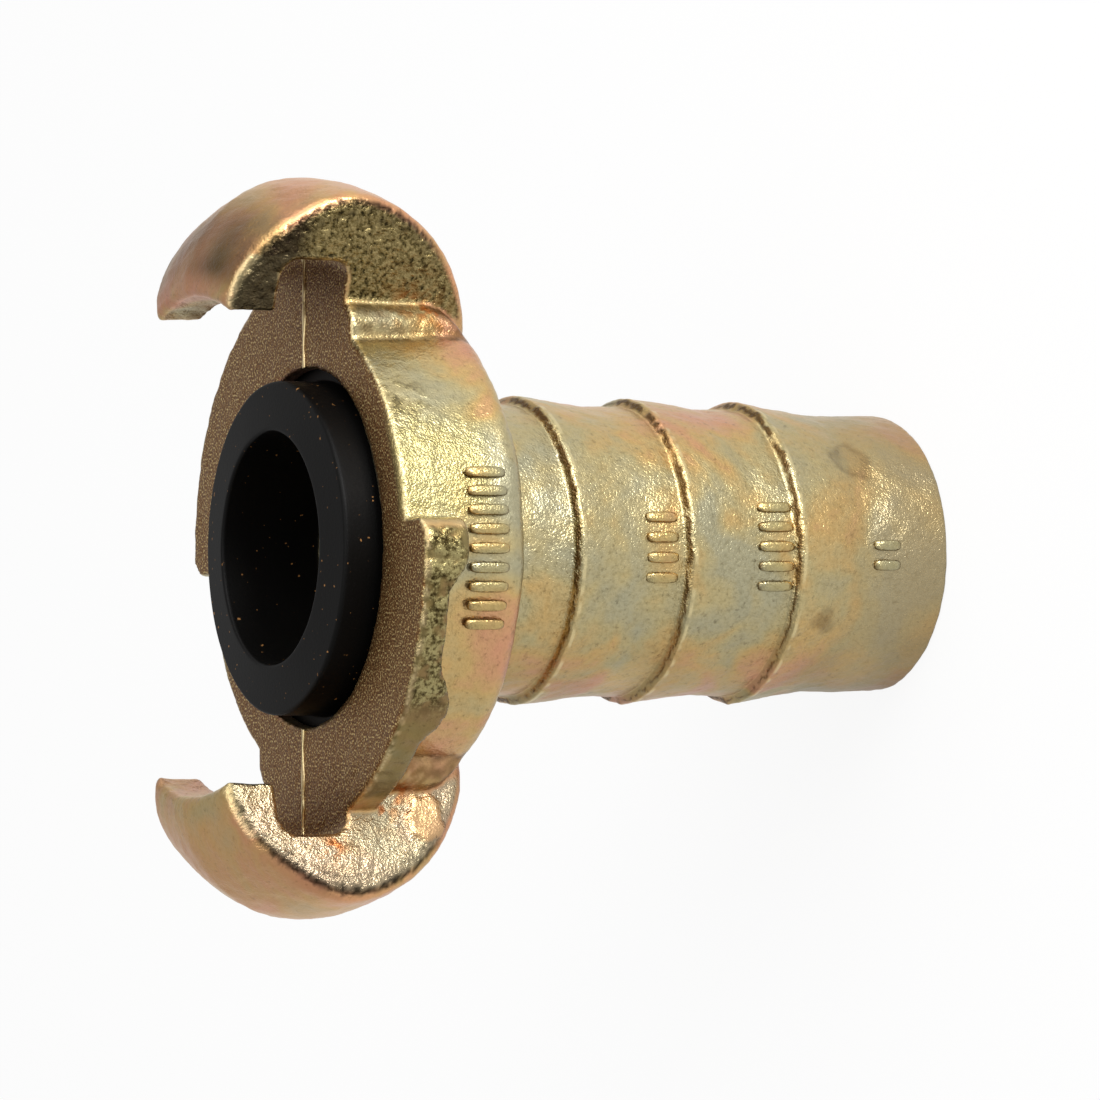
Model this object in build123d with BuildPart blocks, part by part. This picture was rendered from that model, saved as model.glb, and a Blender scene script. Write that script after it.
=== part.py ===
"""Claw coupling half with a ribbed hose tail: 42 mm claw spacing, 25 mm hose, rubber face seal.

The coupling stands on the end of its hose tail. Z is the axis of the waterway, with Z = 0 at
the tail's end and the sealing face looking up. The two claws stand at +Y and -Y. Everything
on the head repeats after half a turn about Z, as two halves made alike have to hook together.
"""
import os
from math import asin, cos, degrees, radians, sin, sqrt

from build123d import *

# Body, in millimetres from here on: one forging, machined only on the face and in the bore
body_length = 58.8  # from the tail's end to the sealing face
bore_radius = 10.0
bore_chamfer = 0.8

# Hose tail: barbs that climb gently from the tail's end and drop off sharply towards the head
tail_radius = 12.8
valley_radius = 13.1
barb_radius = 13.85
barb_count = 3
barb_pitch = 11.2
first_barb_height = 15.8
barb_climb = 7.0
barb_land = 0.2
barb_drop = 0.5
tail_end_chamfer = 0.2

# Head: a plain drum between the claws, a little wider at its back
head_face_radius = 20.4
head_back_radius = 20.9
head_depth = 11.8
head_back_rounding = 1.8

# Seat for the seal: a mouth in the face, and a wider undercut behind it that holds the ring
mouth_radius = 15.8
mouth_depth = 1.6
undercut_radius = 17.2
seat_depth = 6.2

# Claws: a hooked section turned about the waterway's axis and cut off at both ends
claw_half_angle = 21.6
claw_heel_radius = 19.5
claw_heel_run = 1.7  # how far the heel slopes in to the drum's back
claw_crown_radius = 32.5
claw_crown_offset = 0.9  # how far the highest point lies in front of the face
claw_reach = 11.6  # from the face to the hook's nose
claw_back_reach = 12.2  # from the face to the claw's back, just behind the drum's
claw_nose_radius = 22.2
claw_front_fullness = 0.493  # handles of the outline, as a share: 0.552 makes an ellipse, less is leaner
claw_back_fullness = 0.507
claw_edge_rounding = 1.2
channel_width = 6.35
channel_roof_radius = 26.45
channel_corner = 1.5
hook_lip_radius = 21.7
hook_lip_rounding = 0.5
claw_root_rounding = 2.6  # concave blend between the claw's ends and the drum
claw_root_back_rounding = 5.0
claw_root_overlap_angle = 4.0  # how far the blend's web reaches into the claw

# Cam lips: the quadrants of larger radius that the mating claws slip behind. Angles are from
# the X axis, and the lip runs clockwise from its start to the claw at -Y.
lip_radius = 24.5
lip_start_angle = 6.0
nub_end_angle = -4.0
seat_start_angle = -9.0
seat_end_angle = -25.0
stop_start_angle = -32.5
stop_end_angle = -37.0
run_out_angle = -44.0
nub_thickness = 4.1
seat_thickness = 2.6
stop_thickness = 4.3
run_out_thickness = 2.8
ramp_rounding = 1.5
lip_start_rounding = 2.0

# Rubber sealing ring: a wide base caught in the undercut, and a lip that stands out of the face
ring_bore_radius = 10.25
ring_lip_radius = 14.7
ring_rim_height = 2.9  # above the face, at the lip's outer edge
ring_crest_height = 3.4  # above the face, at the bore
ring_clearance = 0.2
ring_rounding = 0.35

head_back = body_length - head_depth
seat_floor = body_length - seat_depth
mouth_floor = body_length - mouth_depth
crown_height = body_length + claw_crown_offset
nose_height = body_length + claw_reach
heel_height = body_length - claw_back_reach
core_radius = claw_heel_radius - claw_heel_run  # inside the drum, where claws, webs and lips start


def axial_plane(angle):
    """Plane through the Z axis at an angle from +X: local x is the radius, local y is Z."""
    turn = radians(angle)
    return Plane(origin=(0, 0, 0), x_dir=(cos(turn), sin(turn), 0), z_dir=(sin(turn), -cos(turn), 0))


def crown_curve(base_radius, base_height, fullness):
    """Quarter turn of the claw's outline, from its crown down to base_radius at base_height."""
    return Bezier(
        (claw_crown_radius, crown_height),
        (claw_crown_radius, crown_height + fullness * (base_height - crown_height)),
        (base_radius + fullness * (claw_crown_radius - base_radius), base_height),
        (base_radius, base_height),
    )


# Claw: the section runs up the face, round the channel and the hook's lip, over the crown
# and down to the heel just behind the drum. Its end faces are rounded off along the crown.
with BuildPart() as claw:
    with BuildSketch(axial_plane(90 - claw_half_angle)):
        with BuildLine():
            FilletPolyline(
                (core_radius, body_length),
                (channel_roof_radius, body_length),
                (channel_roof_radius, body_length + channel_width),
                (hook_lip_radius, body_length + channel_width),
                (hook_lip_radius, nose_height - hook_lip_rounding),
                (claw_nose_radius, nose_height),
                radius=[channel_corner, channel_corner, hook_lip_rounding, hook_lip_rounding / 2],
            )
            crown_curve(claw_nose_radius, nose_height, claw_front_fullness)
            crown_curve(claw_heel_radius, heel_height, claw_back_fullness)
            Polyline(
                (claw_heel_radius, heel_height), (core_radius, head_back), (core_radius, body_length)
            )
        make_face()
    revolve(axis=Axis.Z, revolution_arc=2 * claw_half_angle)
    crown_edges = claw.edges().filter_by(GeomType.BSPLINE)
    fillet(crown_edges, claw_edge_rounding)

# Claw root: the concave blend in the corner between each of a claw's ends and the drum, a web
# whose back is rounded away towards the drum's back
blend_centre_radius = head_face_radius + claw_root_rounding
blend_angle = degrees(asin(claw_root_rounding / blend_centre_radius))
blend_top_radius = sqrt(blend_centre_radius**2 - claw_root_rounding**2)


def plan_point(radius, angle):
    """Point seen along the waterway's axis, at an angle from the claw's middle."""
    return (radius * sin(radians(angle)), radius * cos(radians(angle)))


with BuildPart() as claw_root:
    with BuildSketch(Plane.XY.offset(head_back)):
        with BuildLine():
            drum_end = plan_point(head_face_radius, claw_half_angle + blend_angle)
            claw_end = plan_point(blend_top_radius, claw_half_angle)
            RadiusArc(drum_end, claw_end, -claw_root_rounding)
            Polyline(
                claw_end,
                plan_point(blend_top_radius, claw_half_angle - claw_root_overlap_angle),
                plan_point(core_radius, claw_half_angle - claw_root_overlap_angle),
                plan_point(core_radius, claw_half_angle + blend_angle),
                drum_end,
            )
        make_face()
    extrude(amount=head_depth)
    with BuildSketch(axial_plane(90)):
        with BuildLine():
            FilletPolyline(
                (blend_top_radius, body_length),
                (blend_top_radius, head_back),
                (0, head_back),
                radius=claw_root_back_rounding,
            )
            Polyline((0, head_back), (0, body_length), (blend_top_radius, body_length))
        make_face()
    revolve(axis=Axis.Z, mode=Mode.INTERSECT)
    mirror(about=Plane.YZ)

# Cam lip: a sector of a ring, cut to thickness by a cam outline drawn across it. Seen from its
# rim, the lip starts with a nub, drops to the seat for the mating hook, rises to a stop and
# thins again before it runs into the claw.
claw_end_angle = claw_half_angle - 90
lip_middle_angle = (lip_start_angle + claw_end_angle) / 2
lip_middle = axial_plane(lip_middle_angle)
lip_front = Plane(origin=(0, 0, 0), x_dir=-lip_middle.z_dir, z_dir=lip_middle.x_dir)


def cam_point(angle, thickness):
    """Corner of the cam outline: its distance across the lip at the rim, and its height."""
    return (lip_radius * sin(radians(angle - lip_middle_angle)), body_length - thickness)


with BuildPart() as lip:
    with BuildSketch(axial_plane(claw_end_angle)):
        with BuildLine():
            Polyline(
                (core_radius, body_length),
                (lip_radius, body_length),
                (lip_radius, head_back),
                (core_radius, head_back),
                close=True,
            )
        make_face()
    revolve(axis=Axis.Z, revolution_arc=lip_start_angle - claw_end_angle)
    rim_edges = lip.edges().filter_by(Axis.Z)
    fillet(rim_edges.sort_by(Axis.Y)[-1], lip_start_rounding)
    with BuildSketch(lip_front):
        with BuildLine():
            FilletPolyline(
                (lip_radius, body_length - nub_thickness),
                cam_point(nub_end_angle, nub_thickness),
                cam_point(seat_start_angle, seat_thickness),
                cam_point(seat_end_angle, seat_thickness),
                cam_point(stop_start_angle, stop_thickness),
                cam_point(stop_end_angle, stop_thickness),
                cam_point(run_out_angle, run_out_thickness),
                (-lip_radius, body_length - run_out_thickness),
                radius=ramp_rounding,
            )
            Polyline(
                (-lip_radius, body_length - run_out_thickness),
                (-lip_radius, body_length),
                (lip_radius, body_length),
                (lip_radius, body_length - nub_thickness),
            )
        make_face()
    extrude(amount=lip_radius, mode=Mode.INTERSECT)

# Body: tail and head turned as one blank, with the claws and lips grown out of the head
barb_heights = [first_barb_height + barb_pitch * number for number in range(barb_count)]
with BuildPart() as coupling_body:
    with BuildSketch(axial_plane(0)):
        with BuildLine():
            outline = [(0, 0), (tail_radius - tail_end_chamfer, 0), (tail_radius, tail_end_chamfer)]
            foot_radius = tail_radius
            for height in barb_heights:
                outline += [
                    (foot_radius, height - barb_climb),
                    (barb_radius, height),
                    (barb_radius, height + barb_land),
                    (valley_radius, height + barb_land + barb_drop),
                ]
                foot_radius = valley_radius
            Polyline(*outline, (valley_radius, head_back))
            FilletPolyline(
                (valley_radius, head_back),
                (head_back_radius, head_back),
                (head_face_radius, body_length),
                radius=head_back_rounding,
            )
            Polyline((head_face_radius, body_length), (0, body_length), (0, 0))
        make_face()
    revolve(axis=Axis.Z)
    for turn in (0, 180):
        add(claw.part, rotation=(0, 0, turn))
        add(claw_root.part, rotation=(0, 0, turn))
        add(lip.part, rotation=(0, 0, turn))
    with BuildSketch(axial_plane(0)):
        with BuildLine():
            Polyline(
                (0, 0),
                (bore_radius + bore_chamfer, 0),
                (bore_radius, bore_chamfer),
                (bore_radius, seat_floor),
                (undercut_radius, seat_floor),
                (undercut_radius, mouth_floor),
                (mouth_radius, mouth_floor),
                (mouth_radius, body_length),
                (0, body_length),
                close=True,
            )
        make_face()
    revolve(axis=Axis.Z, mode=Mode.SUBTRACT)

# Sealing ring: the base lies on the seat's floor, under the undercut's edge, and the lip rises
# through the mouth with its front slightly coned, highest at the bore
with BuildPart() as sealing_ring:
    with BuildSketch(axial_plane(0)):
        with BuildLine():
            Polyline(
                (ring_bore_radius, seat_floor),
                (undercut_radius - ring_clearance, seat_floor),
                (undercut_radius - ring_clearance, mouth_floor - ring_clearance),
                (ring_lip_radius, mouth_floor - ring_clearance),
            )
            FilletPolyline(
                (ring_lip_radius, mouth_floor - ring_clearance),
                (ring_lip_radius, body_length + ring_rim_height),
                (ring_bore_radius, body_length + ring_crest_height),
                (ring_bore_radius, seat_floor),
                radius=ring_rounding,
            )
        make_face()
    revolve(axis=Axis.Z)

coupling_body.part.label = "coupling_body"
sealing_ring.part.label = "sealing_ring"

os.makedirs("parts", exist_ok=True)
export_step(coupling_body.part, "parts/coupling_body.step")
export_step(sealing_ring.part, "parts/sealing_ring.step")
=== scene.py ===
"""Claw hose coupling half: a forged body with two hooked claws and a ribbed hose tail, zinc
plated and yellow chromated, with a black rubber seal in its face.

Metres, with Z along the waterway, the tail's end at Z = 0 and the claws at +Y and -Y.
"""

from math import cos, radians, sin, tan

import bmesh
import bpy
import numpy as np
from mathutils import Matrix, Vector


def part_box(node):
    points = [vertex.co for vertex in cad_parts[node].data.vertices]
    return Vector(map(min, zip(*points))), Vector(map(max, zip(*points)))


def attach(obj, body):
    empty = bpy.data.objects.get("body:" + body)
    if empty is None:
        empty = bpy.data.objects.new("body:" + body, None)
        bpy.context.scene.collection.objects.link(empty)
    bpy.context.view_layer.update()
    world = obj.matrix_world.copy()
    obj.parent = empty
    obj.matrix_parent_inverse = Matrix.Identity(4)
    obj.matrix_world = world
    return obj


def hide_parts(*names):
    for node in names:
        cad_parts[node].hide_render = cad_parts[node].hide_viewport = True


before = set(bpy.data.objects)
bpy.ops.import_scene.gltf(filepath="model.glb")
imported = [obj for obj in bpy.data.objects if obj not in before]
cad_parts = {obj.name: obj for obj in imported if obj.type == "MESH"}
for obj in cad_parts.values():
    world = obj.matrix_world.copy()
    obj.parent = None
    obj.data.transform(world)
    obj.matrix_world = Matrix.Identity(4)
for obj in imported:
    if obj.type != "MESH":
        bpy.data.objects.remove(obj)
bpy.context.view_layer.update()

# ---------------------------------------------------------------------------------------------
# Claw head: the drum with its sealing face, two hooked claws and two cam lips, drop-forged in
# one with the tail between dies that part along the plane through both claws. The ends of the
# claws are sheared and stay deeply pitted; the face is coined flat.

MM = 0.001
face_height = 58.8 * MM
head_back = 47.0 * MM
seat_floor = 52.6 * MM
neck_radius = 14.2 * MM  # clears every barb of the tail
bore_radius = 10.0 * MM
mouth_radius = 15.8 * MM
drum_radius = 20.9 * MM
lip_radius = 24.5 * MM
claw_half_angle = 21.6
claw_centre_radius = 19.5 * MM  # middle of the claw's round outline, level with the face
channel_front = 65.15 * MM
channel_roof_radius = 26.45 * MM
die_draft = 5.0  # degrees, towards the claw's ends
head_cell = 0.31 * MM


def fade(value, start, end):
    """Smooth step: 0 before start, 1 after end, and 3t^2 - 2t^3 between them."""
    t = np.clip((value - start) / (end - start), 0, 1)
    return t * t * (3 - 2 * t)


def rough_field(points, grain, seed, waves=28):
    """Smooth random height at each point, about -1.5 to 1.5: a sum of plane waves with seeded
    directions and phases, whose lengths lie between 0.8 and 1.8 times the grain."""
    draw = np.random.default_rng(seed)
    directions = draw.normal(size=(waves, 3))
    directions /= np.linalg.norm(directions, axis=1, keepdims=True)
    turns = directions * (2 * np.pi / (grain * draw.uniform(0.8, 1.8, (waves, 1))))
    heights = np.cos(points @ turns.T + draw.uniform(0, 2 * np.pi, waves))
    return heights.sum(axis=1) / np.sqrt(waves / 2)


def spot_at(points, places, radius):
    """1 at each of the given places, falling off as a bell curve of that radius."""
    reach = np.linalg.norm(points[:, None] - np.array(places)[None], axis=2)
    return np.exp(-((reach / radius) ** 2)).max(axis=1)


def set_values(mesh, **fields):
    """Keeps one number for each vertex under each name, for the material to read."""
    for name, values in fields.items():
        layer = mesh.attributes.new(name, "FLOAT", "POINT")
        layer.data.foreach_set("value", np.asarray(values, np.float32))


blank = bmesh.new()
blank.from_mesh(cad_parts["coupling_body"].data)
bmesh.ops.remove_doubles(blank, verts=blank.verts, dist=0.001 * MM)
tail_walls = [
    face for face in blank.faces
    if all(v.co.xy.length < neck_radius and v.co.z < head_back + 0.01 * MM for v in face.verts)
    or all(v.co.xy.length < bore_radius + 0.9 * MM and v.co.z < seat_floor + 0.1 * MM
           for v in face.verts)
]
bmesh.ops.delete(blank, geom=tail_walls, context="FACES")
bmesh.ops.bridge_loops(blank, edges=[edge for edge in blank.edges if edge.is_boundary])
bmesh.ops.recalc_face_normals(blank, faces=blank.faces)
head_mesh = bpy.data.meshes.new("claw_head")
blank.to_mesh(head_mesh)
blank.free()
head = bpy.data.objects.new("claw_head", head_mesh)
bpy.context.scene.collection.objects.link(head)
skin = head.modifiers.new("skin", "REMESH")
skin.mode = "VOXEL"
skin.voxel_size = head_cell
soften = head.modifiers.new("soften", "SMOOTH")
soften.iterations = 2
bpy.context.view_layer.update()
finished_head = head.evaluated_get(bpy.context.evaluated_depsgraph_get())
head.data = bpy.data.meshes.new_from_object(finished_head)
head.modifiers.clear()

head_count = len(head.data.vertices)
points = np.empty(head_count * 3, np.float32)
normals = np.empty(head_count * 3, np.float32)
head.data.vertices.foreach_get("co", points)
head.data.vertex_normals.foreach_get("vector", normals)
points = points.reshape(-1, 3).astype(float)
normals = normals.reshape(-1, 3).astype(float)
x, y, z = points.T
radius = np.hypot(x, y)
lead = z - face_height  # how far a point lies in front of the face
claw_angle = np.degrees(np.arctan2(np.abs(x), np.abs(y)))  # from the nearer claw's middle
# How squarely the surface faces away from the claw's middle: 1 on the claw's flat ends
outward = np.sign(x) * normals[:, 0] * np.cos(np.radians(claw_angle)) - (
    np.sign(y) * normals[:, 1] * np.sin(np.radians(claw_angle))
)
lip_angle = np.degrees(np.arctan2(np.sign(x) * y, np.abs(x)))  # the same for both halves
rim_reach = np.hypot(radius - claw_centre_radius, lead)  # out towards the claw's round outline

# Masks: 1 where a finish lies and 0 elsewhere
on_face = (
    fade(normals[:, 2], 0.75, 0.95)
    * (np.abs(lead) < 0.5 * MM)
    * (radius > mouth_radius - 0.3 * MM)
)
in_channel = (
    (radius > drum_radius - 0.6 * MM)
    * (radius < channel_roof_radius + 0.5 * MM)
    * fade(lead, -0.6 * MM, 0.1 * MM)
    * fade(channel_front + 0.35 * MM - z, 0, 0.3 * MM)
    * fade(claw_half_angle - claw_angle, 0.2, 1.2)
)
coined = np.maximum(on_face, in_channel)
claw_end = (
    fade(outward, 0.80, 0.95)
    * fade(claw_angle, claw_half_angle - 1.2, claw_half_angle - 0.5)
    * fade(claw_half_angle + 1.6 - claw_angle, 0, 0.5)
    * fade(radius, drum_radius + 0.2 * MM, drum_radius + 1.2 * MM)
)
rag = rough_field(points, 1.3 * MM, 11)
fine_rag = rough_field(points, 0.6 * MM, 12)
# A dark ragged line along the outer edge of each claw's end: a shallow sheared groove, darkened with
# painted shade along the edge
sheared_rim = (
    np.exp(-(((outward - 0.84 + 0.05 * fine_rag) / 0.14) ** 2))
    * fade(rim_reach, 10.2 * MM, 11.2 * MM)
    * fade(claw_angle, claw_half_angle - 4, claw_half_angle - 2)
    * fade(lead, -10 * MM, -7 * MM)
    * fade(rag + 0.6 * fine_rag, -2.4, -1.0)
)
# Rounded edges of the face and of the channels: rubbed bright, with a painted highlight along them
worn_edge = (
    np.exp(-(((normals[:, 2] - 0.52) / 0.26) ** 2))
    * (np.abs(lead) < 0.5 * MM)
    * (radius > drum_radius - 1.2 * MM)
    * fade(claw_angle, claw_half_angle, claw_half_angle + 1)
    * fade(rag + fine_rag, -1.8, 0.6)
)
channel_edge = (
    np.exp(-(((outward - 0.6) / 0.25) ** 2))
    * (radius < channel_roof_radius + 0.7 * MM)
    * (np.abs(claw_angle - claw_half_angle) < 2)
    * fade(lead, -0.3 * MM, 0.3 * MM)
)
worn_edge = np.maximum(worn_edge, 0.6 * channel_edge)
lip_rim = (
    fade(radius, lip_radius - 0.5 * MM, lip_radius - 0.2 * MM)
    * (radius < lip_radius + 0.3 * MM)
    * fade(claw_angle, 26, 30)
    * (1 - worn_edge)
)
scuffed_rim = lip_rim * fade(lip_angle, -38, -30) * fade(rag + 0.6 * fine_rag, -1.8, 0.2)
scuffed_drum = (
    fade(lip_angle, 18, 26) * (1 - fade(lip_angle, 40, 48))
    * fade(z, 53 * MM, 57 * MM) * (1 - coined)
    * (radius < drum_radius + 0.2 * MM) * (radius > drum_radius - 1.5 * MM)
    * fade(rag + fine_rag, -0.8, 1.2)
)
scuffed_rim = np.maximum(scuffed_rim, 0.7 * scuffed_drum)

# Rust starts in the corners at the claws' roots, at radius, angle from the claw's middle and
# height, and stains the film round it
rust_radius = 0.8 * MM
stain_radius = 2.6 * MM
rust_places = [
    (sign * r * sin(radians(turn)) * MM, sign * side * r * cos(radians(turn)) * MM, height * MM)
    for sign in (1, -1)
    for side, r, turn, height in (
        (1, 22.6, 24.0, 51.4), (1, 22.9, 22.4, 52.8), (1, 22.0, 24.5, 50.4),
        (-1, 23.6, 21.8, 54.3), (-1, 24.2, 21.6, 55.2), (-1, 22.6, 22.5, 53.4),
        (-1, 27.6, 21.6, 60.4),
    )
]
rust = spot_at(points, rust_places, rust_radius) * fade(rag + 0.6 * fine_rag, -0.5, 0.7)
stain = spot_at(points, rust_places, stain_radius) * fade(rag + fine_rag, -0.9, 0.9) * 0.6
pressed_pad_reach = 25.4 * MM  # from the waterway's axis, on the cut end of each claw
pressed_pad_height = 51.4 * MM
pressed_pad_radius = 2.2 * MM
pressed_pad_places = [
    (
        sign * pressed_pad_reach * sin(radians(claw_half_angle)),
        -sign * pressed_pad_reach * cos(radians(claw_half_angle)),
        pressed_pad_height,
    )
    for sign in (1, -1)
]
pressed_pad = fade(spot_at(points, pressed_pad_places, pressed_pad_radius) + 0.06 * rag, 0.40, 0.5)

# The forging's own unevenness, the draft of the dies and the pits of the sheared ends
wave_height, wave_length = 0.05 * MM, 9 * MM
ripple_height, ripple_length = 0.015 * MM, 1.8 * MM
grain_height, grain_length = 0.012 * MM, 0.9 * MM
cut_pit_depth, torn_pit_depth = 0.035 * MM, 0.085 * MM
pressed_pad_rise = 0.30 * MM
sheared_rim_depth = 0.10 * MM
lip_ripple_height = 0.03 * MM
# The torn end of each claw gets deeper pits, and its darker colour below is partly painted shade
torn_side = fade(x * y / radius**2, -0.1, 0.1)  # the end of each claw that was torn, not cut
pits = (
    0.5 * np.clip(rough_field(points, 1.3 * MM, 21), 0, 2)
    + np.clip(rough_field(points, 0.7 * MM, 22), 0, 2)
)
pit_depth = cut_pit_depth + (torn_pit_depth - cut_pit_depth) * torn_side
push = (1 - coined) * (
    wave_height * rough_field(points, wave_length, 31)
    + ripple_height * rough_field(points, ripple_length, 32)
)
push += grain_height * rough_field(points, grain_length, 33)
push -= claw_end * (1 - pressed_pad) * pit_depth * pits
push += claw_end * pressed_pad * pressed_pad_rise
push -= sheared_rim * sheared_rim_depth
push += lip_rim * lip_ripple_height * rag
points += normals * push[:, None]
draft = (
    np.abs(x) * tan(radians(die_draft))
    * fade(rim_reach, 9.4 * MM, 12.0 * MM)
    * fade(lead, -1 * MM, 8 * MM)
    * (radius > drum_radius + 0.5 * MM)
)
inward = np.stack([x / radius, y / radius, np.zeros(head_count)], axis=1) * (
    (radius - claw_centre_radius) / rim_reach
)[:, None]
inward[:, 2] = lead / rim_reach
points -= inward * draft[:, None]
head.data.vertices.foreach_set("co", points.astype(np.float32).ravel())

# Where the film is thicker, thinner or worn, and where shade is painted on
crown = fade(radius, drum_radius + 1.5 * MM, drum_radius + 4 * MM) * (1 - claw_end) * (1 - coined)
drum_flank = (
    fade(lip_angle, 4, 10) * (1 - fade(lip_angle, 24, 40))
    * fade(radius, drum_radius - 1.9 * MM, drum_radius - 0.9 * MM)
    * fade(drum_radius + 0.4 * MM - radius, 0, 0.3 * MM)
    * fade(z, 49 * MM, 52 * MM)
)
nose = fade(lead, 5 * MM, 9 * MM)
root_band = (
    fade(claw_angle, claw_half_angle + 0.4, claw_half_angle + 1.4)
    * fade(claw_half_angle + 9.5 - claw_angle, 0, 1.5)
    * fade(drum_radius + 2.6 * MM - radius, 0, 0.6 * MM)
    * fade(radius, drum_radius - 1.6 * MM, drum_radius - 0.9 * MM)
    * (1 - coined) * (1 - lip_rim)
)
# Painted shade: the concave band at each claw's root and the nose of the +Y claw's crown are
# darkened, over the brown and olive film of the roots
patina = np.maximum(0, np.maximum(
    root_band * (0.5 + 0.1 * rag + 0.1 * fine_rag),
    crown * fade(lead, 5.5 * MM, 10 * MM) * fade(y, 0, 5 * MM)
    * (0.65 + 0.1 * rough_field(points, 5 * MM, 34)),
))
relief = (
    0.5 + 0.6 * claw_end * (1 - 0.9 * pressed_pad) + 0.35 * coined - 0.2 * crown * (1 - nose)
    + 0.5 * drum_flank + 0.6 * scuffed_rim
)
set_values(
    head.data, coined=coined, torn_end=claw_end * torn_side * (1 - pressed_pad),
    cut_end=claw_end * (1 - torn_side) * (1 - pressed_pad), pressed_pad=pressed_pad * claw_end,
    dark_nose=claw_end * torn_side * fade(lead, 3 * MM, 6 * MM), sheared_rim=sheared_rim,
    worn_edge=worn_edge, lip_rim=lip_rim, scuffed_rim=scuffed_rim, drum_flank=drum_flank,
    crown_film=crown * (1 - sheared_rim) * (1 - lip_rim), patina=patina, relief=relief,
    rust=rust, stain=stain * (1 - coined),
    greener=fade(np.abs(x) / radius, 0.5, 0.95) * (1 - crown) * fade(lip_angle, -30, 5),
)
head.data.polygons.foreach_set("use_smooth", [True] * len(head.data.polygons))


def linear(colour):
    """An sRGB hex colour as linear red, green, blue and full alpha."""
    shares = [int(colour[place:place + 2], 16) / 255 for place in (1, 3, 5)]
    return (*[s / 12.92 if s <= 0.04045 else ((s + 0.055) / 1.055) ** 2.4 for s in shares], 1.0)


def add_node(tree, kind, inputs, **settings):
    """Adds a node with its settings, and gives each named or numbered input a value or a link."""
    node = tree.nodes.new("ShaderNode" + kind)
    for name, value in settings.items():
        setattr(node, name, value)
    for name, value in inputs.items():
        if isinstance(value, bpy.types.NodeSocket):
            tree.links.new(value, node.inputs[name])
        else:
            node.inputs[name].default_value = value
    return node


A, B, RESULT = 6, 7, 2  # colour sockets of a Mix node

# Yellow chromate over zinc on forged iron: satin metal whose thin film shifts between straw
# yellow, pink and olive, over a skin grained like fine sandpaper that glints in a strong light.
chromate = bpy.data.materials.new("yellow_chromate_on_forging")
chromate.use_nodes = True
tree = chromate.node_tree
shader = tree.nodes["Principled BSDF"]
place = add_node(tree, "TexCoord", {}).outputs["Object"]
masks = {
    name: add_node(tree, "Attribute", {}, attribute_name=name).outputs["Fac"]
    for name in (
        "coined", "torn_end", "cut_end", "pressed_pad", "dark_nose", "sheared_rim", "worn_edge",
        "lip_rim", "scuffed_rim", "drum_flank", "crown_film", "browner", "patina", "rust", "stain",
        "scaled_band", "crest", "relief", "greener",
    )
}

# Sizes of the film's clouds, its blotches, dark flecks, the skin's grain and its glints. Real
# glints are nearer 0.05 mm, too fine to show, so they are drawn coarser.
cloud_size = 9 * MM
blotch_size = 2.5 * MM
fleck_size = 0.55 * MM
grain_size = 0.4 * MM
glint_size = 0.2 * MM
noises = {
    name: add_node(tree, "TexNoise", {"Vector": place, "Scale": 1 / size, **details}).outputs["Fac"]
    for name, size, details in (
        ("clouds", cloud_size, {"Detail": 2.0, "Distortion": 0.8}),
        ("blotches", blotch_size, {"Detail": 4.0, "Roughness": 0.6}),
        ("flecks", fleck_size, {"Detail": 4.0, "Roughness": 0.65}),
        ("grain", grain_size, {"Detail": 3.0, "Roughness": 0.6}),
        ("glints", glint_size, {"Detail": 1.0}),
    )
}
film_shift = add_node(
    tree, "Math", {0: masks["greener"], 1: 0.22, 2: noises["clouds"]}, operation="MULTIPLY_ADD"
).outputs[0]
film_shift = add_node(
    tree, "Math", {0: noises["blotches"], 1: 0.25, 2: film_shift}, operation="MULTIPLY_ADD"
).outputs[0]
mottle = add_node(
    tree, "Math", {0: noises["blotches"], 1: 0.8, 2: noises["grain"]}, operation="MULTIPLY_ADD"
).outputs[0]

# The film from pink over straw to olive; the grain, whose hollows keep a darker film; the coined
# face, brown with bright specks where the grain was crushed; the torn ends, dark in their pits
# and darker still with painted shade; the scuffed rim; and the flecks that stayed dark
tones = {}
for name, source, stops in (
    ("film", film_shift, (
        (0.45, "#cf9576"), (0.56, "#cd9e74"), (0.66, "#c9a970"), (0.78, "#baab7e"), (0.92, "#aca688"),
    )),
    ("grain", noises["grain"], ((0.32, "#b9b3a2"), (0.55, "#ffffff"))),
    ("face", noises["glints"], ((0.40, "#6c4a2c"), (0.57, "#936c41"), (0.68, "#e0c88e"))),
    # The torn ends' tone is darker than the cut ends' partly as painted shade
    ("torn", noises["grain"], ((0.33, "#2c2615"), (0.45, "#6c5e3a"), (0.60, "#94845a"))),
    ("scuffs", mottle, ((0.76, "#3a3019"), (0.89, "#756943"), (1.0, "#a39768"))),
    ("flecks", noises["flecks"], ((0.30, "#5f5238"), (0.42, "#ffffff"))),
):
    ramp = add_node(tree, "ValToRGB", {"Fac": source})
    marks = ramp.color_ramp.elements
    for mark, (share, tone) in zip(marks, (stops[0], stops[-1])):
        mark.position = share
        mark.color = linear(tone)
    for share, tone in stops[1:-1]:
        marks.new(share).color = linear(tone)
    tones[name] = ramp.outputs["Color"]

grain_share = add_node(
    tree, "Math", {0: masks["relief"], 1: 0.45}, operation="MULTIPLY", use_clamp=True
).outputs[0]
olive_share = add_node(tree, "Math", {0: masks["lip_rim"], 1: 0.8}, operation="MULTIPLY").outputs[0]
finish = tones["film"]
for share, tone, blend in (
    (grain_share, tones["grain"], "MULTIPLY"), (olive_share, linear("#71633c"), "MIX"),
    (masks["coined"], tones["face"], "MIX"), (masks["torn_end"], tones["torn"], "MIX"),
    (masks["scuffed_rim"], tones["scuffs"], "MIX"), (0.4, tones["flecks"], "MULTIPLY"),
):
    finish = add_node(
        tree, "Mix", {0: share, A: finish, B: tone}, data_type="RGBA", blend_type=blend
    ).outputs[RESULT]
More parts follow.
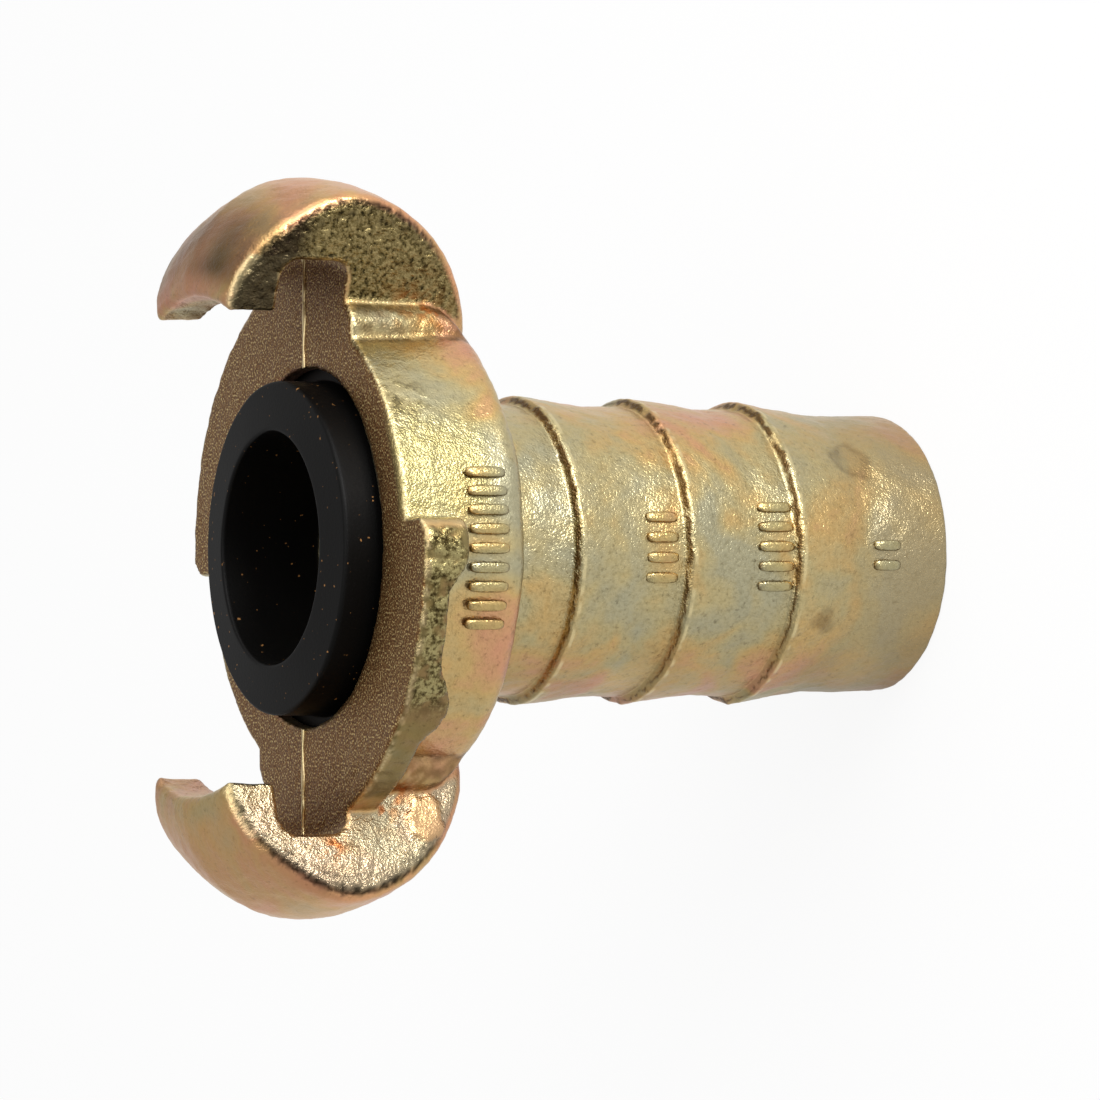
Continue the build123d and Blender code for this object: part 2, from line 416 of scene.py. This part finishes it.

# Films, marks, painted shade and highlights, each by its mask, in the order they cover each other
for mask, tone, strength in (
    ("crown_film", "#eaae76", 0.33), ("browner", "#a08c68", 0.6), ("patina", "#57452b", 1.0),
    # dark_nose: painted shade, near black, on the front of each torn end
    ("cut_end", "#a79d84", 0.8), ("drum_flank", "#a39763", 0.7), ("dark_nose", "#2b221b", 0.88),
    ("stain", "#946c3a", 0.9), ("sheared_rim", "#1a150d", 0.95), ("scaled_band", "#5e4423", 0.9),
    ("crest", "#e6d6a4", 0.5), ("worn_edge", "#e4d2a0", 0.9), ("rust", "#b0602a", 0.85),
    ("pressed_pad", "#c2a076", 0.8),
):
    share = add_node(tree, "Math", {0: masks[mask], 1: strength}, operation="MULTIPLY").outputs[0]
    finish = add_node(
        tree, "Mix", {0: share, A: finish, B: linear(tone)}, data_type="RGBA"
    ).outputs[RESULT]
tree.links.new(finish, shader.inputs["Base Color"])
shader.inputs["Metallic"].default_value = 1.0

# Satin where plated, duller on the coined face, and uneven from blotch to blotch
dulled = add_node(
    tree, "Math", {0: masks["coined"], 1: 0.12, 2: 0.26}, operation="MULTIPLY_ADD"
).outputs[0]
roughness = add_node(
    tree, "Math", {0: noises["blotches"], 1: 0.12, 2: dulled}, operation="MULTIPLY_ADD"
).outputs[0]
tree.links.new(roughness, shader.inputs["Roughness"])

skin_depth = 0.10 * MM
skin_height = add_node(
    tree, "Math", {0: noises["glints"], 1: 0.4, 2: noises["grain"]}, operation="MULTIPLY_ADD"
).outputs[0]
skin_height = add_node(
    tree, "Math", {0: skin_height, 1: masks["relief"]}, operation="MULTIPLY"
).outputs[0]
bump = add_node(tree, "Bump", {"Height": skin_height, "Distance": skin_depth, "Strength": 1.0})
tree.links.new(bump.outputs["Normal"], shader.inputs["Normal"])

head.data.materials.clear()
head.data.materials.append(chromate)
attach(head, "root")
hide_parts("coupling_body")

# ---------------------------------------------------------------------------------------------
# Hose tail: one piece with the head, with three barbs that climb from the tail's end and drop
# off sharply towards the head. Scale from the forging stays in the corner behind each barb.

tail_radius = 12.8 * MM
valley_radius = 13.1 * MM
barb_radius = 13.85 * MM
barb_heights = [15.8 * MM, 27.0 * MM, 38.2 * MM]
barb_climb = 7.0 * MM
barb_land = 0.2 * MM
barb_drop = 0.5 * MM
tail_end_rounding = 0.4 * MM
tail_columns = 300


def shell(rings, joined):
    """Points and faces of a skin over rings of points, each ring a row of the array. Quads run
    round each ring and on to the next, and from the last to the first if they are joined;
    otherwise triangles close each end to its middle. Its volume's sign turns it outward."""
    count, around = rings.shape[:2]
    index = np.arange(count * around).reshape(count, around)
    below = index if joined else index[:-1]
    above = np.roll(index, -1, axis=0) if joined else index[1:]
    quads = np.stack([below, np.roll(below, -1, 1), np.roll(above, -1, 1), above], axis=-1)
    quads = quads.reshape(-1, 4)
    corners = rings.reshape(-1, 3)
    a, b, c, d = (corners[quads[:, side]] for side in range(4))
    volume = (np.cross(a, b) * c).sum() + (np.cross(a, c) * d).sum()
    faces = quads.tolist()
    if not joined:
        ends = np.stack([rings[0].mean(0), rings[-1].mean(0)])
        corners = np.concatenate([corners, ends])
        first, last = index[0], index[-1]
        total = count * around
        faces += np.stack([np.roll(first, -1), first, np.full(around, total)], axis=1).tolist()
        faces += np.stack([last, np.roll(last, -1), np.full(around, total + 1)], axis=1).tolist()
    if volume < 0:
        faces = [face[::-1] for face in faces]
    return corners, faces


def add_piece(name, shells, material):
    """One smooth object made of the given shells, each a pair of points and faces."""
    starts = np.cumsum([0] + [len(corners) for corners, faces in shells])
    mesh = bpy.data.meshes.new(name)
    mesh.from_pydata(
        np.concatenate([corners for corners, faces in shells]).tolist(), [],
        [
            [int(start) + corner for corner in face]
            for start, (corners, faces) in zip(starts, shells) for face in faces
        ],
    )
    mesh.polygons.foreach_set("use_smooth", [True] * len(mesh.polygons))
    mesh.materials.append(material)
    piece = bpy.data.objects.new(name, mesh)
    bpy.context.scene.collection.objects.link(piece)
    return piece


def revolved(radii, heights, columns):
    """Rings of a profile turned about Z: each point goes to radius times cosine and sine."""
    turn = np.arange(columns) * 2 * np.pi / columns
    levels = np.repeat(heights[:, None], columns, 1)
    return np.stack([radii[:, None] * np.cos(turn), radii[:, None] * np.sin(turn), levels], axis=-1)


profile = [(0.0, tail_radius)]
foot_radius = tail_radius
for height in barb_heights:
    profile += [
        (height - barb_climb, foot_radius), (height, barb_radius), (height + barb_land, barb_radius),
        (height + barb_land + barb_drop, valley_radius),
    ]
    foot_radius = valley_radius
profile += [(head_back - 0.5 * MM, valley_radius), (head_back + 0.5 * MM, neck_radius)]
# Rows lie closer at the barbs, whose corners are rounded by averaging the profile over the blur
outer_heights = np.unique(np.round(np.concatenate(
    [np.linspace(tail_end_rounding, head_back + 0.4 * MM, 170)]
    + [np.linspace(height - 0.5 * MM, height + 1.2 * MM, 18) for height in barb_heights]
), 6))
blur = np.linspace(-0.12, 0.12, 5) * MM
outer_radii = np.interp(outer_heights[:, None] + blur, *np.array(profile).T).mean(axis=1)
corner_turn = np.radians([0, 30, 60, 90])
corner_radii = tail_radius - tail_end_rounding * (1 - np.sin(corner_turn))
corner_heights = tail_end_rounding * (1 - np.cos(corner_turn))
bore_chamfer = 0.8 * MM
end_radii = np.array([10.8, 11.3, 11.9]) * MM
bore_heights = np.append(np.linspace(seat_floor + 0.01 * MM, 1.2 * MM, 30), bore_chamfer)
inner_radii = np.append(11.5 * MM, np.full(len(bore_heights), bore_radius))
radii = np.concatenate([end_radii, corner_radii[:-1], outer_radii, inner_radii])
heights = np.concatenate([
    np.zeros(len(end_radii)), corner_heights[:-1], outer_heights, [seat_floor - 1 * MM], bore_heights,
])
rings = revolved(radii, heights, tail_columns)
tail_points = rings.reshape(-1, 3)
height = tail_points[:, 2]
tail_reach = np.hypot(tail_points[:, 0], tail_points[:, 1])
outside = (tail_reach > tail_radius - 0.5 * MM) & (height < head_back)
rag = rough_field(tail_points, 1.6 * MM, 41)
fine_rag = rough_field(tail_points, 0.8 * MM, 42)

# Brown scale in the corner behind each barb and at the drum, and a painted highlight along each crest
past_barb = np.min([
    np.abs(height - barb_height - 0.42 * MM + 0.05 * MM * rag + 0.04 * MM * fine_rag)
    for barb_height in barb_heights
], axis=0)
at_crest = np.min([np.abs(height - barb_height + 0.1 * MM) for barb_height in barb_heights], axis=0)
upper_side = fade(tail_points[:, 1] * np.sign(tail_points[:, 0]) / tail_radius, -0.7, 0.2)
band = (
    fade((0.10 + 0.12 * upper_side) * MM - past_barb, 0, 0.12 * MM)
    * fade(rag + 0.4 * fine_rag, -1.9, -0.6)
)
drum_corner = head_back - 0.2 * MM
band = np.maximum(band, fade(0.35 * MM - np.abs(height - drum_corner), 0, 0.2 * MM) * 0.8)
crest = fade(0.25 * MM - at_crest, 0, 0.12 * MM) * fade(rag + 0.6 * fine_rag, -0.8, 0.8)
tail_wave_height, tail_wave_length = 0.045 * MM, 6 * MM
parting_rise, parting_half_width = 0.05 * MM, 0.5 * MM  # low ridge where the dies met
push = outside * (
    tail_wave_height * rough_field(tail_points, tail_wave_length, 43)
    + 0.018 * MM * rag + 0.010 * MM * fine_rag
    + 0.02 * MM * crest - 0.015 * MM * band * (1 + 0.5 * fine_rag)
    + parting_rise * np.exp(-((tail_points[:, 0] / parting_half_width) ** 2))
)
around = tail_points[:, :2] / tail_reach[:, None]
tail_points[:, :2] += around * push[:, None]
tail = add_piece("hose_tail", [shell(tail_points.reshape(rings.shape), True)], chromate)
tail_flank = fade(np.abs(around[:, 0]), 0.45, 0.95)
blot_places = (  # angle round the tail, height and radius in millimetres of each dark ring
    (40.7, 8.6, 1.6), (-28.8, 12.7, 0.9), (220.7, 9.5, 1.3),
)
blots = np.zeros(len(tail_points))
for turn, rise, size in blot_places:
    middle = np.array([tail_radius * cos(radians(turn)), tail_radius * sin(radians(turn)), rise * MM])
    reach = np.linalg.norm(tail_points - middle, axis=1)
    ring = np.exp(-(((reach + 0.25 * MM * rag) / MM - size) / 0.45) ** 2)
    blots = np.maximum(blots, ring + 0.35 * (reach < size * MM))
# Painted shade on the tail's side towards -Y; the rings are dark spots on the film
under = fade(-around[:, 1], 0.35, 0.95)
set_values(
    tail.data, scaled_band=band * outside, crest=crest * outside, greener=tail_flank,
    relief=0.4 + 0.45 * tail_flank + 0.6 * band, browner=1 - fade(height, 2 * MM, 17 * MM),
    patina=outside * np.maximum(
        0.38 * blots, 0.2 * under * (1 + 0.3 * rough_field(tail_points, 6 * MM, 44))
    ),
)
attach(tail, "root")
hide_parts("coupling_body")

# ---------------------------------------------------------------------------------------------
# Flash lines: the thin ridges left on the face and up into each claw's channel where the two
# dies met, bright with the worn edge colour, which is partly a painted highlight.

flash_half_width = 0.2 * MM
flash_height = 0.13 * MM
channel_corner = 1.5 * MM
flash_turn = np.radians(np.arange(15, 91, 15))  # round the corner between face and channel roof
flash_path = [
    (mouth_radius + 0.05 * MM, face_height),
    (channel_roof_radius - channel_corner, face_height),
    *zip(
        channel_roof_radius - channel_corner * (1 - np.sin(flash_turn)),
        face_height + channel_corner * (1 - np.cos(flash_turn)),
    ),
    (channel_roof_radius, channel_front - channel_corner),
]


def carried_ridge(path, side, half_width, height):
    """Rings of a round-topped ridge carried along a path of radius and height in the parting
    plane: each ring's points lie at half_width times cosine across, and height times sine out."""
    path = np.array(path)
    spacing = np.concatenate([[0], np.cumsum(np.linalg.norm(np.diff(path, axis=0), axis=1))])
    steps = np.linspace(0, spacing[-1], 90)
    line = np.stack([np.interp(steps, spacing, column) for column in path.T], axis=1)
    ahead = np.gradient(line, axis=0)
    ahead /= np.linalg.norm(ahead, axis=1, keepdims=True)
    rise = np.stack([-ahead[:, 1], ahead[:, 0]], axis=1)
    turn = np.arange(10) * 2 * np.pi / 10
    unevenness = 0.35 * rough_field(np.pad(line, ((0, 0), (0, 1))), 1.5 * MM, 51)
    across = half_width * (1 + unevenness)[:, None] * np.cos(turn)
    out = height * np.sin(turn)[None]
    return np.stack(
        [across, side * (line[:, :1] + rise[:, :1] * out), line[:, 1:] + rise[:, 1:] * out], axis=-1
    )


flash = add_piece(
    "flash_lines",
    [
        shell(carried_ridge(flash_path, side, flash_half_width, flash_height), False)
        for side in (1, -1)
    ],
    chromate,
)
flash_count = len(flash.data.vertices)
set_values(flash.data, worn_edge=np.full(flash_count, 0.9), relief=np.full(flash_count, 0.3))
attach(flash, "root")

# ---------------------------------------------------------------------------------------------
# Forged pads: rows of small raised bars with rounded corners, sunk in the dies, on the drum's
# flank and between the barbs.

pad_rise = 0.36 * MM
pad_squareness = 3.5
pad_rows, pad_columns = 9, 24
pad_latitudes = np.linspace(-0.45 * np.pi, 0.48 * np.pi, pad_rows)
pad_half_width = 0.5 * MM


def bent_bar(seat_radius, angle, height, half_width, half_length):
    """Rings of a low dome on a cylinder: a superellipse in plan, its half width bent round the
    cylinder, its height the rise times the sine of the latitude."""
    turn = np.arange(pad_columns) * 2 * np.pi / pad_columns
    latitude = pad_latitudes[:, None]
    across = np.sign(np.cos(turn)) * np.abs(np.cos(turn)) ** (2 / pad_squareness)
    along = np.sign(np.sin(turn)) * np.abs(np.sin(turn)) ** (2 / pad_squareness)
    inset = np.cos(latitude) ** 0.5
    bend = radians(angle) + half_width * across * inset / seat_radius
    out = seat_radius + pad_rise * np.sin(latitude)
    level = height + half_length * along * inset
    return np.stack([out * np.cos(bend), out * np.sin(bend), level], axis=-1)


pads = [
    bent_bar(seat * MM, angle, height * MM, pad_half_width, length * MM)
    for seat, height, length, angles in (
        (20.95, 51.0, 1.9, np.linspace(17.5, -18.5, 9)),
        (13.15, 29.9, 1.6, np.linspace(12.5, -11, 4)),
        (13.2, 18.3, 1.8, np.linspace(17, -14, 5)),
        (12.8, 6.5, 1.4, (2.5, -5.5)),
    )
    for angle in angles
]
forged_pads = add_piece("forged_pads", [shell(pad, False) for pad in pads], chromate)
pad_corners = len(forged_pads.data.vertices)
pad_level = np.append(np.repeat(np.sin(pad_latitudes), pad_columns), [-1, 1])
pad_level = np.tile(pad_level, len(pads))  # -1 at the foot of each bar, 1 on its top
pad_rag = rough_field(np.array([v.co for v in forged_pads.data.vertices]), 0.9 * MM, 52)
set_values(
    forged_pads.data, relief=np.full(pad_corners, 0.8), greener=np.full(pad_corners, 0.8),
    drum_flank=0.5 * fade(pad_level, 0.5, 1),
    scaled_band=fade(0.62 - pad_level + 0.1 * pad_rag, 0, 0.4) * 0.85,
)
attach(forged_pads, "root")

# ---------------------------------------------------------------------------------------------
# Sealing ring: moulded black rubber, snapped into the undercut behind the mouth by its wide
# base. Its front is slightly coned, highest at the bore.

ring_low, ring_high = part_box("sealing_ring")
ring_bore_radius = 10.25 * MM
ring_lip_radius = 14.7 * MM
ring_base_radius = ring_high.x
ring_rim_height = ring_high.z - 0.5 * MM
ring_rounding = 0.35 * MM
ring_base_top = 57.0 * MM


def rounded_profile(corners, roundings, steps=7):
    """Closed outline with each corner cut by a quarter-like curve: a quadratic Bezier from one
    side of the corner to the other, as far from it as its rounding."""
    corners = np.array(corners)
    before, after = np.roll(corners, 1, axis=0), np.roll(corners, -1, axis=0)
    t = np.linspace(0, 1, steps)[:, None]
    outline = []
    for corner, back, ahead, rounding in zip(corners, before, after, roundings):
        start = corner + (back - corner) / np.linalg.norm(back - corner) * rounding
        end = corner + (ahead - corner) / np.linalg.norm(ahead - corner) * rounding
        outline.append((1 - t) ** 2 * start + 2 * t * (1 - t) * corner + t**2 * end)
    return np.concatenate(outline)


ring_outline = rounded_profile(
    [
        (ring_bore_radius, ring_low.z), (ring_base_radius, ring_low.z),
        (ring_base_radius, ring_base_top), (ring_lip_radius, ring_base_top),
        (ring_lip_radius, ring_rim_height), (ring_bore_radius, ring_high.z),
    ],
    [0.2 * MM, 0.2 * MM, 0.2 * MM, 0.3 * MM, ring_rounding, ring_rounding],
)
spans = np.linalg.norm(np.diff(ring_outline, axis=0, append=ring_outline[:1]), axis=1)
stations = np.concatenate([[0], np.cumsum(spans)])
closed_outline = np.vstack([ring_outline, ring_outline[:1]])
even_stations = np.linspace(0, stations[-1], 110)
fine_stations = np.unique(np.round(np.concatenate([stations[:-1], even_stations[:-1]]), 6))
ring_radii = np.interp(fine_stations, stations, closed_outline[:, 0])
ring_heights = np.interp(fine_stations, stations, closed_outline[:, 1])
rings = revolved(ring_radii, ring_heights, 240)
ring_points = rings.reshape(-1, 3)
ring_reach = np.hypot(ring_points[:, 0], ring_points[:, 1])
swell = 0.015 * MM * rough_field(ring_points, 5 * MM, 61)
ring_points[:, :2] *= (1 + swell / ring_reach)[:, None]

# Moulded nitrile rubber: almost black, with a dull skin, a faint bloom and a few grains of
# rust-coloured dust.
rubber = bpy.data.materials.new("moulded_rubber")
rubber.use_nodes = True
tree = rubber.node_tree
shader = tree.nodes["Principled BSDF"]
place = add_node(tree, "TexCoord", {}).outputs["Object"]
bloom = add_node(tree, "TexNoise", {"Vector": place, "Scale": 1 / (4 * MM), "Detail": 4.0})
dust = add_node(tree, "TexNoise", {"Vector": place, "Scale": 1 / (0.5 * MM), "Detail": 1.0})
skin_tone = add_node(tree, "ValToRGB", {"Fac": bloom.outputs["Fac"]})
skin_tone.color_ramp.elements[0].color = linear("#020202")
skin_tone.color_ramp.elements[1].color = linear("#060504")
dust_share = add_node(tree, "ValToRGB", {"Fac": dust.outputs["Fac"]})
dust_share.color_ramp.elements[0].position = 0.74
dust_share.color_ramp.elements[1].position = 0.78
tone = add_node(
    tree, "Mix",
    {0: dust_share.outputs["Color"], A: skin_tone.outputs["Color"], B: linear("#8a6238")},
    data_type="RGBA",
).outputs[RESULT]
tree.links.new(tone, shader.inputs["Base Color"])
shader.inputs["Roughness"].default_value = 0.5
shader.inputs["Specular IOR Level"].default_value = 0.11
fine = add_node(tree, "TexNoise", {"Vector": place, "Scale": 1 / (0.3 * MM), "Detail": 2.0})
bump = add_node(tree, "Bump", {"Height": fine.outputs["Fac"], "Distance": 0.02 * MM, "Strength": 0.6})
tree.links.new(bump.outputs["Normal"], shader.inputs["Normal"])

seal = add_piece("moulded_seal", [shell(ring_points.reshape(rings.shape), True)], rubber)
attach(seal, "root")
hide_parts("sealing_ring")

# ---------------------------------------------------------------------------------------------
# Camera: near the face's side, rolled so that the coupling lies down

face_centre = Vector((0, 0, face_height))
view_elevation = radians(27.558)
view_drop = radians(-0.914)
view_roll = radians(0.067)
rightward = Vector((sin(view_elevation), 0, -cos(view_elevation)))
backward = Vector((
    cos(view_elevation) * cos(view_drop), sin(view_drop), sin(view_elevation) * cos(view_drop),
))
upward = backward.cross(rightward)
camera = bpy.data.objects.new("camera", bpy.data.cameras.new("camera"))
camera.data.sensor_width = 36
camera.data.lens = 157.86
camera.data.clip_start = 0.01
spot = face_centre + MM * (21.68 * rightward - 0.107 * upward + 424.46 * backward)
stand = Matrix((rightward, upward, backward)).transposed().to_4x4()
camera.matrix_world = Matrix.Translation(spot) @ stand @ Matrix.Rotation(view_roll, 4, "Z")
bpy.context.scene.collection.objects.link(camera)
bpy.context.scene.camera = camera

# ---------------------------------------------------------------------------------------------
# Studio: a plain white floor, an even pale surround and soft lamps

floor_reach = 6.0
floor_mesh = bpy.data.meshes.new("floor")
floor_mesh.from_pydata(
    [(-floor_reach, -floor_reach, 0), (floor_reach, -floor_reach, 0), (floor_reach, floor_reach, 0),
     (-floor_reach, floor_reach, 0)], [], [(0, 1, 2, 3)],
)
floor = bpy.data.objects.new("floor", floor_mesh)
bpy.context.scene.collection.objects.link(floor)

# White card: nine tenths plain white to the camera and about a third to the metal. What is left
# of it is lit card, which keeps the coupling's shadow.
card = bpy.data.materials.new("white_card")
card.use_nodes = True
tree = card.node_tree
shader = tree.nodes["Principled BSDF"]
shader.inputs["Base Color"].default_value = linear("#e8e8e8")
shader.inputs["Roughness"].default_value = 0.9
rays = add_node(tree, "LightPath", {}).outputs
mirrored = add_node(
    tree, "Math", {0: rays["Is Glossy Ray"], 1: rays["Is Transmission Ray"]}, operation="MAXIMUM"
).outputs[0]
mirrored = add_node(tree, "Math", {0: mirrored, 1: 0.35}, operation="MULTIPLY").outputs[0]
seen = add_node(
    tree, "Math", {0: rays["Is Camera Ray"], 1: 0.9, 2: mirrored}, operation="MULTIPLY_ADD"
).outputs[0]
white = add_node(tree, "Emission", {"Color": (1, 1, 1, 1), "Strength": 1.0}).outputs[0]
both = add_node(tree, "MixShader", {0: seen, 1: shader.outputs[0], 2: white}).outputs[0]
tree.links.new(both, tree.nodes["Material Output"].inputs["Surface"])
floor_mesh.materials.append(card)

world = bpy.data.worlds.new("studio")
bpy.context.scene.world = world
world.use_nodes = True
world.node_tree.nodes["Background"].inputs["Color"].default_value = (1, 1, 1, 1)
world.node_tree.nodes["Background"].inputs["Strength"].default_value = 0.55


def lamp(name, place, size, watts):
    """A square soft lamp that faces the middle of the coupling's face."""
    light = bpy.data.lights.new(name, "AREA")
    light.size = size
    light.energy = watts
    holder = bpy.data.objects.new(name, light)
    holder.location = place
    holder.rotation_euler = (face_centre - Vector(place)).to_track_quat("-Z", "Y").to_euler()
    bpy.context.scene.collection.objects.link(holder)


lamp("key", (0.30, 0.42, 0.30), 0.30, 1.3)
lamp("low_side", (0.34, 0.26, 0.05), 0.16, 1.7)
lamp("front", (0.22, 0.12, 0.55), 0.50, 1.2)
lamp("upper_side", (-0.02, 0.50, 0.30), 0.40, 0.7)

bpy.context.scene.view_settings.view_transform = "Standard"
